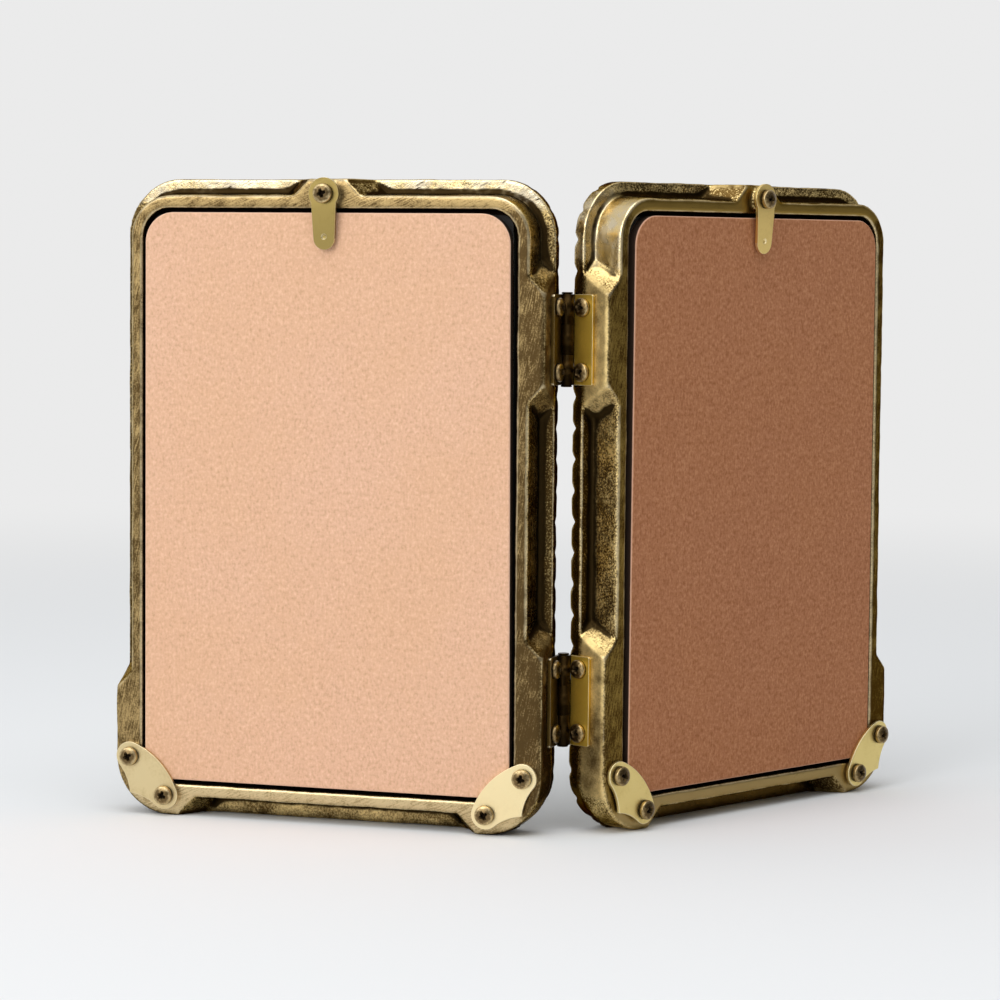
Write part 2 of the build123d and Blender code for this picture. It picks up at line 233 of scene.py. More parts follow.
@dataclass(frozen=True)
class Finish:
    """A finish, which paints one material."""

    name: str

    def material(self) -> Material:
        """Builds the finish's material."""
        material, paint = new_paint(self.name)
        self.coat(paint, paint.own_axes())
        return material

    def coat(self, paint: Paint, places: Signal) -> None:
        """Adds the finish's nodes, read at places on the piece."""
        raise NotImplementedError


@dataclass(frozen=True)
class CastBrass(Finish):
    """Antiqued brass as it left the sand, filed on the back of the rim and rubbed bright on its edges."""

    filed: Colour = (0.095, 0.058, 0.021)
    brushed: Colour = (0.46, 0.325, 0.14)
    body: Colour = (0.075, 0.044, 0.012)
    spark: Colour = (0.74, 0.55, 0.235)
    bright: Colour = (0.80, 0.66, 0.40)
    cream: Colour = (0.70, 0.61, 0.44)
    patina: Colour = (0.030, 0.018, 0.006)
    # The pocket colour is painted shade, on the casting's walls in the gap by the board
    pocket: Colour = (0.034, 0.019, 0.012)
    edge_tint: Colour = (0.24, 0.19, 0.12)
    # Shares of painted light and shade: a highlight with scratches on the top faces, a highlight on the upper spine
    # corner, a reflection of the floor on the bottom rail, light and shade on the rails, by the spine and on the
    # outer side walls, and shade underneath
    crown_highlight_and_scratches: float = 0.0
    shoulder_highlight: float = 0.2
    sill_reflection: float = 1.0
    level_painted_light: float = 0.2
    upright_painted_light: float = 0.0
    spine_painted_light: float = -0.22
    flank_painted_light: float = -0.15
    under_shade: float = 0.0
    patch_scale: float = 48.0
    stain_scale: float = 260.0
    grain_scale: float = 2000.0
    grain_height: float = 0.05 * MM
    stroke_scale: float = 3000.0
    stroke_length: float = 12.0
    stroke_leans: Span = (12.0, 66.0)
    stroke_height: float = 0.012 * MM
    face_span: Span = (-0.3, 0.5)
    spark_span: Span = (-0.26, 0.4)
    pale_span: Span = (0.25, 0.85)
    scratch_span: Span = (0.22, 0.42)
    dirt_and_shade_span: Span = (0.2, 1.0)
    worn_span: Span = (0.35, 1.05)
    worn_share: float = 0.6

    def coat(self, paint: Paint, places: Signal) -> None:
        """Paints sand grain with painted glints, file strokes, patina in the hollows and bright edges, and painted
        highlights, reflections and shade by zone.
        """
        patch = paint.cloud(places, self.patch_scale, 3.0, 0.55) - 0.5
        stain = paint.cloud(places, self.stain_scale, 4.0, 0.6) - 0.5
        grain = paint.cloud(places, self.grain_scale, 2.0, 0.6) - 0.5
        along = (1.0, 1.0, self.stroke_length)
        upright, slanted = (
            paint.cloud(paint.stretched(places, along, lean), self.stroke_scale, 2.0, 0.6) - 0.5
            for lean in self.stroke_leans
        )
        marks = ("level", "filed", "lip", "ledge", "plain", "hollow", "worn", "pocket", "under", "spine")
        level, filed, lip, ledge, plain, hollow, worn, sunk, under, spine = (paint.attribute(mark) for mark in marks)
        crown = paint.attribute("crown") * self.crown_highlight_and_scratches
        shoulder = paint.attribute("shoulder") * self.shoulder_highlight
        sill = paint.attribute("sill") * self.sill_reflection

        # The filed back of the rim: strokes, with painted light and shade on the rails by their direction and by the
        # spine, and a painted reflection of the floor on the bottom rail
        strokes = upright + level * (slanted - upright)
        rail_painted_light = level * (self.level_painted_light - self.upright_painted_light) + self.upright_painted_light
        rail_painted_light = rail_painted_light + spine * (1.0 - level) * self.spine_painted_light
        tone = strokes * 1.6 + grain * 1.1 + stain * 1.1 + patch * 0.9 + sill * 0.1 + rail_painted_light
        low = paint.mix(sill * 0.55, self.filed, self.brushed)
        high = paint.mix(sill * 0.6, self.brushed, self.bright)
        face = paint.mix(tone.step(*self.face_span), low, high)

        # The cast skin: dark brass whose grains carry painted glints, a pale painted highlight on the left half's
        # top faces and on the upper spine corner among random pale patches, painted shade on the lip and ledge and
        # under the right half's bottom rail, and on the outer side walls painted shade on the left half and painted
        # light on the right
        rough = (1.0 - 0.85 * plain) * (1.0 - 0.4 * shoulder) * (1.0 - 0.6 * under)
        lit = grain * 2.0 * rough + stain * 0.7 + patch * 1.1 + crown * 0.6 + shoulder
        shaded = lip * 0.5 + ledge * 0.25 + under * self.under_shade - plain * self.flank_painted_light
        sparks = (lit - shaded).step(*self.spark_span)
        pale = (crown + shoulder + stain * 1.3 + patch * 0.5).step(*self.pale_span)
        skin = paint.mix(pale, paint.mix(sparks, self.body, self.spark), self.cream)

        # Patina in the hollows, dirt with painted shade on the ledge and the clip boss's ramp and less of it under
        # the shoulder's painted highlight, bright metal on the edges, and painted shade in the pocket between rim
        # and board
        scratches = (slanted * 2.2 + stain * 1.4).step(*self.scratch_span) * crown
        soiled_and_shaded = hollow + ledge * 0.45 + stain * 0.8 + patch * 0.6 - shoulder + scratches
        dirt_and_shade = soiled_and_shaded.step(*self.dirt_and_shade_span)
        dirty_and_shaded = paint.mix(dirt_and_shade * (1.0 - 0.6 * filed), paint.mix(filed, skin, face), self.patina)
        bared = (worn + stain * worn * 1.2).step(*self.worn_span) * self.worn_share
        edged = paint.mix(bared, dirty_and_shaded, self.bright)
        sandy = paint.bump(grain * rough * (1.0 - 0.75 * filed) * (1.0 - lip), self.grain_height)
        paint.surface(
            {
                "Base Color": paint.mix(sunk, edged, self.pocket),
                "Metallic": 1.0,
                "Roughness": 0.26 + 0.10 * filed + 0.18 * dirt_and_shade + 0.2 * stain + 0.3 * sunk + 0.22 * plain,
                "Specular Tint": rgba(self.edge_tint),
                "Normal": paint.bump(strokes * filed, self.stroke_height, sandy),
            }
        )


@dataclass(frozen=True)
class SatinBrass(Finish):
    """Sheet brass with a fine grain, a few smudges, edges rubbed bright with a painted highlight on them, and grime
    from the smudges with painted shade round a hinge's barrel.
    """

    body: Colour
    smudge: Colour
    rim: Colour = (0.92, 0.82, 0.56)
    grime: Colour = (0.035, 0.020, 0.006)
    rim_share: float = 0.6
    roughness: float = 0.36
    smudge_scale: float = 160.0
    line_scale: float = 2600.0
    line_height: float = 0.012 * MM
    dull_span: Span = (-0.1, 0.7)
    grime_span: Span = (0.2, 0.8)

    def coat(self, paint: Paint, places: Signal) -> None:
        """Paints rolled lines along Z, smudges in tone and gloss, a painted highlight on the rubbed edges and
        painted shade round the barrel.
        """
        smudges = paint.cloud(places, self.smudge_scale, 4.0, 0.6) - 0.5
        specks = paint.cloud(places, self.smudge_scale * 9.0, 2.0, 0.5) - 0.5
        lines = paint.cloud(paint.stretched(places, (1.0, 1.0, 16.0)), self.line_scale, 2.0, 0.5) - 0.5
        dull = (smudges * 1.6 + specks * 0.5).step(*self.dull_span)
        flat = paint.mix(dull, self.body, self.smudge)
        # Rubbed edges with a painted highlight
        wear_and_highlight = paint.mix(paint.attribute("rim") * self.rim_share, flat, self.rim)
        # Grime from the smudges, and painted shade round the barrel
        grimy_and_shaded = (paint.attribute("barrel") + smudges).step(*self.grime_span)
        paint.surface(
            {
                "Base Color": paint.mix(grimy_and_shaded, wear_and_highlight, self.grime),
                "Metallic": 1.0,
                "Roughness": self.roughness + 0.14 * dull + 0.06 * lines,
                "Normal": paint.bump(lines, self.line_height),
            }
        )


@dataclass(frozen=True)
class DarkScrewBrass(Finish):
    """Antiqued screw brass: grime and painted shade in the recess, painted shade down the sides, and a top rubbed
    bright with a painted highlight.
    """

    body: Colour = (0.17, 0.115, 0.052)
    # The top's bright colour carries wear and a painted highlight, and the dark colour grime and painted shade
    wear_and_highlight: Colour = (0.66, 0.51, 0.27)
    grime: Colour = (0.014, 0.009, 0.005)
    speck_scale: float = 1400.0
    speck_height: float = 0.03 * MM
    rub_span: Span = (0.15, 0.95)

    def coat(self, paint: Paint, places: Signal) -> None:
        """Paints by the wear and highlight, and the grime and shade, that the screws' points carry."""
        specks = paint.cloud(places, self.speck_scale, 3.0, 0.6)
        rub = (paint.attribute("rub") + (specks - 0.5) * 1.5).step(*self.rub_span)
        grime = paint.attribute("grime")
        top = paint.mix(rub, self.body, self.wear_and_highlight)
        paint.surface(
            {
                "Base Color": paint.mix(grime, top, self.grime),
                "Metallic": 1.0,
                "Roughness": 0.33 + 0.25 * grime + 0.16 * (specks - 0.5),
                "Normal": paint.bump(specks, self.speck_height),
            }
        )


@dataclass(frozen=True)
class KraftBoard(Finish):
    """Brown hardboard: pressed fibres, faint mottling, a pale painted highlight along its eased edges and painted
    shade on its cut sides.
    """

    body: Colour
    pale: Colour
    dark: Colour
    wear_and_highlight: Colour
    # The cut colour is painted shade, on the board's sides in the gap by the rim
    cut: Colour = (0.040, 0.022, 0.013)
    contrast: float = 1.2
    tan: Colour = (0.90, 0.845, 0.70)
    fibre_scale: float = 1500.0
    mottle_scale: float = 420.0
    cloud_scale: float = 22.0
    fibre_height: float = 0.05 * MM
    tone_span: Span = (-0.05, 0.75)
    fleck_span: Span = (0.66, 0.74)
    fleck_share: float = 0.35
    tan_span: Span = (0.3, 0.74)
    tan_share: float = 0.45
    rub_span: Span = (0.02, 0.3)
    rub_share: float = 0.7
    side_shade_span: Span = (0.55, 0.9)

    def coat(self, paint: Paint, places: Signal) -> None:
        """Paints fibres both ways, mottling and soft clouds of tone, then a painted highlight on the eased edges and
        painted shade on the cut sides.
        """
        upright = paint.cloud(paint.stretched(places, (1.0, 1.0, 1.7)), self.fibre_scale, 3.0, 0.6)
        level = paint.cloud(paint.stretched(places, (1.6, 1.0, 1.0)), self.fibre_scale * 0.7, 3.0, 0.6)
        fibres = upright * 0.6 + level * 0.4
        mottle = paint.cloud(places, self.mottle_scale, 4.0, 0.62)
        clouds = paint.cloud(places, self.cloud_scale, 3.0, 0.5)
        tone = ((fibres - 0.5) * 3.4 + (mottle - 0.5) * 0.8) * self.contrast + (clouds - 0.5) * 0.6
        flecks = paint.cloud(places, self.fibre_scale * 0.6, 2.0, 0.5).step(*self.fleck_span)
        paler = paint.mix(tone.step(*self.tone_span), self.body, self.pale)
        darker = paint.mix((0.0 - tone).step(*self.tone_span), paler, self.dark)
        flecked = paint.mix(flecks * self.fleck_share, darker, self.dark)
        tanned = (clouds + (mottle - 0.5) * 0.4).step(*self.tan_span) * self.tan_share
        aged = paint.tinted(tanned, flecked, self.tan)
        edge = paint.attribute("edge")
        # A pale painted highlight on the eased edges, and painted shade on the cut sides
        wear_and_highlight = paint.mix(edge.step(*self.rub_span) * self.rub_share, aged, self.wear_and_highlight)
        paint.surface(
            {
                "Base Color": paint.mix(edge.step(*self.side_shade_span), wear_and_highlight, self.cut),
                "Roughness": 0.82 + 0.1 * (mottle - 0.5),
                "Specular IOR Level": 0.25,
                "Normal": paint.bump(fibres, self.fibre_height),
            }
        )


@dataclass(frozen=True)
class ClearGlass(Finish):
    """Plain picture glass, with a trace of haze and its edges painted dull and dark as shade."""

    name: str = "clear_glass"
    tint: Colour = (0.97, 0.99, 0.98)
    ground: Colour = (0.012, 0.016, 0.014)
    haze_scale: float = 60.0

    def coat(self, paint: Paint, places: Signal) -> None:
        """Paints clear glass with a faint smear in its gloss, opaque and painted dark as shade round its edges."""
        haze = paint.cloud(places, self.haze_scale, 4.0, 0.6)
        sockets = {
            "Base Color": rgba(self.tint),
            "Roughness": 0.05 * haze.step(0.5, 0.9),
            "IOR": 1.45,
            "Transmission Weight": 1.0,
        }
        clear = paint.node("ShaderNodeBsdfPrincipled", {}, sockets)
        # Painted shade: the edges are dark and opaque
        sockets = {"Base Color": rgba(self.ground), "Roughness": 0.7 + 0.1 * haze}
        dull = paint.node("ShaderNodeBsdfPrincipled", {}, sockets)
        both = paint.node("ShaderNodeMixShader", {}, {0: paint.attribute("ground"), 1: clear, 2: dull})
        paint.node("ShaderNodeOutputMaterial", {}, {"Surface": both})


@dataclass(frozen=True)
class PhotoPaper(Finish):
    """A blank satin print, its reverse painted near black as shade."""

    name: str = "photo_paper"
    body: Colour = (0.80, 0.77, 0.70)
    shade: Colour = (0.74, 0.70, 0.62)
    # The reverse colour is painted shade, where the print lies against the board
    reverse: Colour = (0.016, 0.014, 0.012)
    cloud_scale: float = 14.0
    pearl_scale: float = 3000.0
    pearl_height: float = 0.01 * MM

    def coat(self, paint: Paint, places: Signal) -> None:
        """Paints a soft cast of tone under a pearl finish, and painted shade on the reverse."""
        clouds = paint.cloud(places, self.cloud_scale, 2.0, 0.5)
        pearl = paint.cloud(places, self.pearl_scale, 1.0, 0.5)
        front = paint.mix(clouds.step(0.3, 0.7), self.body, self.shade)
        paint.surface(
            {
                "Base Color": paint.mix(paint.attribute("reverse"), front, self.reverse),
                "Roughness": 0.38 + 0.1 * (pearl - 0.5) + 0.45 * paint.attribute("reverse"),
                "Normal": paint.bump(pearl, self.pearl_height),
            }
        )


def placed(name: str, data: bpy.types.ID) -> Object:
    """A new object, put into the scene."""
    piece = bpy.data.objects.new(name, data)
    bpy.context.scene.collection.objects.link(piece)
    return piece


def evaluated_mesh(piece: Object) -> Mesh:
    """The mesh that an object's modifiers give, as a new mesh."""
    depsgraph = bpy.context.evaluated_depsgraph_get()
    return bpy.data.meshes.new_from_object(piece.evaluated_get(depsgraph), depsgraph=depsgraph)


def written(work: bmesh.types.BMesh, mesh: Mesh) -> Mesh:
    """Writes a working mesh into a mesh, and lets it go."""
    work.to_mesh(mesh)
    work.free()
    return mesh


def points_in(mesh: Mesh) -> np.ndarray:
    """A mesh's points, as rows."""
    points = np.zeros(len(mesh.vertices) * 3)
    mesh.vertices.foreach_get("co", points)
    return points.reshape(-1, 3)


def normals_in(mesh: Mesh) -> np.ndarray:
    """The normals at a mesh's points, as rows."""
    return np.array([vertex.normal for vertex in mesh.vertices])


def smooth_step(values: np.ndarray, low: float, high: float) -> np.ndarray:
    """Runs smoothly from 0 at low to 1 at high."""
    share = np.clip((values - low) / (high - low), 0.0, 1.0)
    return share * share * (3.0 - 2.0 * share)


def set_attribute(mesh: Mesh, name: str, values: Sequence[float] | np.ndarray, domain: str = "POINT") -> None:
    """Stores one number on each point, or on each face, of a mesh."""
    layer = mesh.attributes.new(name, "FLOAT", domain)
    layer.data.foreach_set("value", np.asarray(values).astype(np.float32))


@dataclass(frozen=True)
class HalfPlace:
    """Where one half of the frame lies when it stands half open."""

    side: Side

    @property
    def label(self) -> str:
        """The half's name, as its nodes have it."""
        return self.side.name.lower()

    @property
    def body(self) -> str:
        """The body that the half's pieces ride on."""
        return f"{self.label}_half"

    @property
    def matrix(self) -> Matrix:
        """From the half's own axes, X across, -Y to the back and Z up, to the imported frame."""
        joints = {joint["name"]: joint for joint in frame["joints"]}
        across, towards, _ = joints[f"{self.label}_clip_turn"]["axis"]
        pin = Vector(joints["fold"]["pos_m"])
        return Matrix.Translation(pin) @ Matrix.Rotation(math.atan2(across, -towards), 4, "Z")

    def mesh_of(self, node: str) -> Mesh:
        """Copies a node's mesh into the half's own axes, with its points welded.

        Args:
            node: The node's name.

        Returns:
            The new mesh.
        """
        mesh = bpy.data.meshes.new(f"{node}_copy")
        work = bmesh.new()
        work.from_mesh(frame["nodes"][node].data)
        work.transform(self.matrix.inverted())
        bmesh.ops.remove_doubles(work, verts=work.verts, dist=WELD)
        written(work, mesh)
        for leftover in ("custom_normal", "UVMap"):
            layer = mesh.attributes.get(leftover)
            if layer is not None:
                mesh.attributes.remove(layer)
        return mesh

    def points_of(self, node: str) -> np.ndarray:
        """A node's points in the half's own axes, as rows."""
        points = points_in(frame["nodes"][node].data)
        rows = np.c_[points, np.ones(len(points))]
        return (rows @ np.array(self.matrix.inverted()).T)[:, :3]

    def add(
        self,
        name: str,
        mesh: Mesh,
        slot: str,
        material: Material,
        node: str,
        body: str | None = None,
    ) -> Object:
        """Puts a piece in place of a node.

        Args:
            name: The piece's name.
            mesh: Its mesh, in the half's own axes.
            slot: The record's material slot, not used.
            material: Its finish.
            node: The node that it stands for.
            body: The body that it rides on, if not the half.

        Returns:
            The new object.
        """
        piece = placed(name, mesh)
        piece.matrix_world = self.matrix
        mesh.materials.clear()
        mesh.materials.append(material)
        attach(piece, body or self.body)
        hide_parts(node)
        LOG.info("%s stands for %s, with %d faces", name, node, len(mesh.polygons))
        return piece


def smoothed(points: np.ndarray, edges: np.ndarray, passes: int) -> np.ndarray:
    """Averages each point with its neighbours, again and again.

    Args:
        points: Points as rows.
        edges: Pairs of neighbours.
        passes: How many times.

    Returns:
        The smoothed points.
    """
    count = len(points)
    ends = np.r_[edges[:, 0], edges[:, 1]]
    others = np.r_[edges[:, 1], edges[:, 0]]
    share = 1.0 / np.maximum(np.bincount(ends, minlength=count), 1)
    for _ in range(passes):
        sums = [np.bincount(ends, weights=points[others, axis], minlength=count) for axis in range(3)]
        points = 0.5 * points + 0.5 * np.stack(sums, 1) * share[:, None]
    return points


# Each zone of a casting is a product of steps: a measure, where it gives 0 and where it gives 1.
# Lengths are in millimetres, and directions are parts of the normal.
# The zones level, sill, spine, plain, under, ledge, crown and shoulder carry painted light and shade in the
# finishes, and the pocket painted shade
CAST_ZONES: dict[str, tuple[tuple[str, float, float], ...]] = {
    "level": (("rail", -2.0, 2.0),),
    "sill": (("rail", -2.0, 2.0), ("height", 30.0, 20.0)),
    "filed": (("backward", 0.7, 0.93), ("depth", 12.2, 12.7)),
    "pocket": (("inside", 0.0, 1.0), ("depth", 7.6, 7.9), ("depth", 12.65, 12.1)),
    "lip": (("facing", 0.8, 0.5), ("depth", 3.9, 3.3)),
    "ledge": (("backward", 0.6, 0.9), ("lip_gap", 1.2, 0.6), ("rail", 2.0, -2.0)),
    "plain": (("facing", 0.8, 0.5), ("margin", 1.6, 0.9), ("depth", 3.9, 5.4)),
    "slant": (("backward", 0.3, 0.5), ("depth", 4.7, 5.9), ("depth", 12.7, 12.2)),
    "hinge_ramp": (("upward", 0.3, 0.55), ("across", 18.0, 14.0)),
    "clip_ramp": (("aside", 0.3, 0.55), ("drop", 9.0, 7.0), ("across", 20.0, 30.0), ("across", 105.0, 95.0)),
    "spine": (("across", 15.0, 11.0),),
    "under": (("depth", 5.9, 4.7), ("height", 10.0, 7.0)),
    "crown": (("drop", 9.0, 5.0), ("aside", 0.6, 0.3)),
    "shoulder": (("corner", 16.0, 7.0),),
    "sagging": (("height", 2.6, 1.4), ("depth", 5.1, 4.3)),
}


@dataclass
class CastHalf:
    """One half's casting: its solid with softened edges and an uneven, sand-cast skin.

    The lip's back, the shoulder's centre and the pocket's reach and lean are in millimetres, as the zones are.
    """

    place: HalfPlace
    voxel: float = 0.45 * MM
    soften: int = 2
    lump_waves: tuple[float, ...] = (9.0 * MM, 3.6 * MM, 1.5 * MM)
    lump_heights: tuple[float, ...] = (0.17 * MM, 0.07 * MM, 0.04 * MM)
    lump_shift: Triple = (3.1, 7.7, 1.9)
    fit_margin: float = 1.2 * MM
    filed_share: float = 0.18
    pocket_share: float = 0.25
    fitting_share: float = 0.08
    # How much of the ledge's painted shade and dirt the clip boss's ramp takes
    clip_ramp_dirt: float = 1.3
    lip_drop: float = 0.7 * MM
    lip_back: float = 3.9
    shoulder_centre: Span = (6.0, 12.0)
    pocket_reach: float = 2.2
    pocket_lean: float = 10.0
    near_passes: int = 8
    far_passes: int = 70
    worn_span: Span = (0.25, 0.9)
    hollow_span: Span = (0.05, 0.8)

    def skin(self) -> Mesh:
        """The casting's solid, meshed evenly and with its edges softened."""
        piece = placed("scratch", self.place.mesh_of(f"{self.place.label}_frame_casting"))
        remesh = piece.modifiers.new("even", "REMESH")
        remesh.mode = "VOXEL"
        remesh.voxel_size = self.voxel
        soften = piece.modifiers.new("soften", "SMOOTH")
        soften.factor = 0.5
        soften.iterations = self.soften
        mesh = evaluated_mesh(piece)
        bpy.data.objects.remove(piece)
        return mesh

    def beside(self, points: np.ndarray, node: str) -> np.ndarray:
        """Whether each point lies in the box of a node, or within a margin of it."""
        fit = self.place.points_of(node)
        low, high = fit.min(0) - self.fit_margin, fit.max(0) + self.fit_margin
        return np.all((points > low) & (points < high), axis=1)

    def unevenness(self, points: np.ndarray, filed: np.ndarray) -> np.ndarray:
        """How much of the full lumps each point has.

        Args:
            points: The skin's points.
            filed: How filed each one is.

        Returns:
            The shares.
        """
        share = 1.0 - (1.0 - self.filed_share) * filed
        share[self.beside(points, f"{self.place.label}_backing_board")] *= self.pocket_share
        for fitting in self.fittings():
            share[self.beside(points, fitting)] *= self.fitting_share
        return share

    def zones(self, points: np.ndarray, normals: np.ndarray) -> dict[str, np.ndarray]:
        """The share that each point has in the casting's zones.

        Args:
            points: The skin's points.
            normals: Their normals.

        Returns:
            The shares, by the zone's name.
        """
        board = self.place.points_of(f"{self.place.label}_backing_board")
        low, high = board.min(0), board.max(0)
        beside, _, beyond = np.maximum(low - points, points - high).T / MM
        lean = ((points - (low + high) / 2) * normals)[:, [0, 2]].sum(1) / MM
        across, depth, height = np.abs(points[:, 0]) / MM, -points[:, 1] / MM, points[:, 2] / MM
        drop = height.max() - height
        measures = {
            "across": across,
            "depth": depth,
            "height": height,
            "drop": drop,
            "aside": np.abs(normals[:, 0]),
            "backward": -normals[:, 1],
            "facing": np.abs(normals[:, 1]),
            "upward": np.abs(normals[:, 2]),
            "rail": beyond - np.maximum(beside, 0.0),
            "inside": (np.maximum(beside, beyond) < self.pocket_reach) & (lean <= self.pocket_lean),
            "lip_gap": np.abs(depth - self.lip_back),
            "margin": np.minimum.reduce([across - across.min(), across.max() - across, height, drop]),
            "corner": np.hypot(across - self.shoulder_centre[0], drop - self.shoulder_centre[1]),
        }
        zones = {
            zone: np.prod([smooth_step(measures[name], start, end) for name, start, end in steps], axis=0)
            for zone, steps in CAST_ZONES.items()
        }
        slant = zones.pop("slant")
        zones["plain"] = np.maximum(zones["plain"], zones.pop("hinge_ramp") * slant)
        zones["ledge"] = np.maximum(zones["ledge"], zones.pop("clip_ramp") * slant * self.clip_ramp_dirt)
        return zones

    def fittings(self) -> list[str]:
        """The nodes that are screwed down on the casting."""
        label = self.place.label
        plates = [f"{label}_{corner.value}_corner_plate" for corner in Corner]
        return plates + [f"{height.value}_hinge_{label}_leaf" for height in Height]

    def lumps(self, points: np.ndarray) -> np.ndarray:
        """The height of the cast skin over the smooth solid, at each point."""
        shift = Vector(self.lump_shift) * self.place.side.value
        height = np.zeros(len(points))
        for wave, tall in zip(self.lump_waves, self.lump_heights):
            height += tall * np.array([noise.noise(Vector(point) / wave + shift) for point in points])
        return height

    def build(self, finish: Material) -> None:
        """Makes the casting.

        Args:
            finish: Its material.
        """
        mesh = self.skin()
        points = points_in(mesh)
        normals = normals_in(mesh)
        filed = self.zones(points, normals)["filed"]
        points = points + normals * (self.lumps(points) * self.unevenness(points, filed))[:, None]
        points[:, 2] = np.maximum(points[:, 2] - self.lip_drop * self.zones(points, normals)["sagging"], 0.0)
        mesh.vertices.foreach_set("co", points.ravel())
        mesh.update()
        normals = normals_in(mesh)
        edges = np.zeros(len(mesh.edges) * 2, dtype=np.int32)
        mesh.edges.foreach_get("vertices", edges)
        edges = edges.reshape(-1, 2)
        near = smoothed(points, edges, self.near_passes)
        far = smoothed(near, edges, self.far_passes)
        sharp = np.einsum("ij,ij->i", points - near, normals) / self.voxel
        broad = np.einsum("ij,ij->i", points - far, normals) / self.voxel
        zones = self.zones(points, normals) | {
            "filed": filed,
            "worn": smooth_step(sharp + 0.2 * broad, *self.worn_span),
            "hollow": smooth_step(-broad - sharp, *self.hollow_span),
        }
        zones.pop("sagging")
        for name, zone in zones.items():
            set_attribute(mesh, name, zone)
        mesh.polygons.foreach_set("use_smooth", np.ones(len(mesh.polygons), dtype=bool))
        label = self.place.label
        self.place.add(f"{label}_cast_rim", mesh, "cast_brass", finish, f"{label}_frame_casting")


def ease_edges(mesh: Mesh, width: float, segments: int = 2, keep: float = 0.0) -> None:
    """Rounds the sharp edges of a mesh that came from a solid.

    Args:
        mesh: The mesh, changed in place.
        width: The rounding's width.
        segments: Its steps.
        keep: How near to the fold's axis edges are left as they are.
    """
    flat = math.radians(0.4)
    sharp = math.radians(34)
    work = bmesh.new()
    work.from_mesh(mesh)
    bmesh.ops.dissolve_limit(work, angle_limit=flat, verts=work.verts, edges=work.edges)
    edges = [
        edge
        for edge in work.edges
        if edge.is_manifold
        and edge.calc_face_angle() > sharp
        and max(vert.co.xy.length for vert in edge.verts) > keep
    ]
    bmesh.ops.bevel(
        work,
        geom=edges,
        offset=width,
        offset_type="OFFSET",
        segments=segments,
        profile=0.5,
        affect="EDGES",
        clamp_overlap=True,
    )
    for face in work.faces:
        face.smooth = True
    written(work, mesh)


def mark_rims(mesh: Mesh, width: float) -> None:
    """Marks the narrow faces along a mesh's eased edges, which wear bright.

    Args:
        mesh: The mesh, changed in place.
        width: The widest face that counts.
    """
    points = points_in(mesh)
    pairs = np.array([edge.vertices for edge in mesh.edges])
    lengths = np.linalg.norm(points[pairs[:, 0]] - points[pairs[:, 1]], axis=1)
    loops = np.array([loop.edge_index for loop in mesh.loops])
    narrow = [
        face.area < width * lengths[loops[face.loop_start : face.loop_start + face.loop_total]].max()
        for face in mesh.polygons
    ]
    set_attribute(mesh, "rim", narrow, "FACE")


def even_shading(piece: Object) -> None:
    """Lets the large faces of a piece set its shading, so that flats look flat."""
    weighted = piece.modifiers.new("even_shading", "WEIGHTED_NORMAL")
    weighted.mode = "FACE_AREA"
    weighted.weight = 80


@dataclass
class SheetFittings:
    """A half's corner plates and turn clip, pressed from sheet with eased edges."""

    place: HalfPlace
    plate_ease: float = 0.22 * MM
    clip_ease: float = 0.18 * MM

    def press(self, name: str, node: str, ease: float, finish: Material, body: str | None = None) -> None:
        """Makes one fitting.

        Args:
            name: The piece's name.
            node: The node that it stands for.
            ease: How wide its edges are rounded.
            finish: Its material.
            body: The body that it rides on, if not the half.
        """
        mesh = self.place.mesh_of(node)
        ease_edges(mesh, ease, 3)
        mark_rims(mesh, ease)
        even_shading(self.place.add(name, mesh, "sheet_brass", finish, node, body))

    def build(self, plates: Mapping[Corner, Material], strip: Material) -> None:
        """Makes both plates and the clip.

        Args:
            plates: The material of each plate.
            strip: The clip's material.
        """
        label = self.place.label
        for corner, finish in plates.items():
            name = f"{label}_{corner.value}"
            self.press(f"{name}_leaf_plate", f"{name}_corner_plate", self.plate_ease, finish)
        self.press(f"{label}_clip_strip", f"{label}_turn_clip", self.clip_ease, strip, f"{label}_clip")


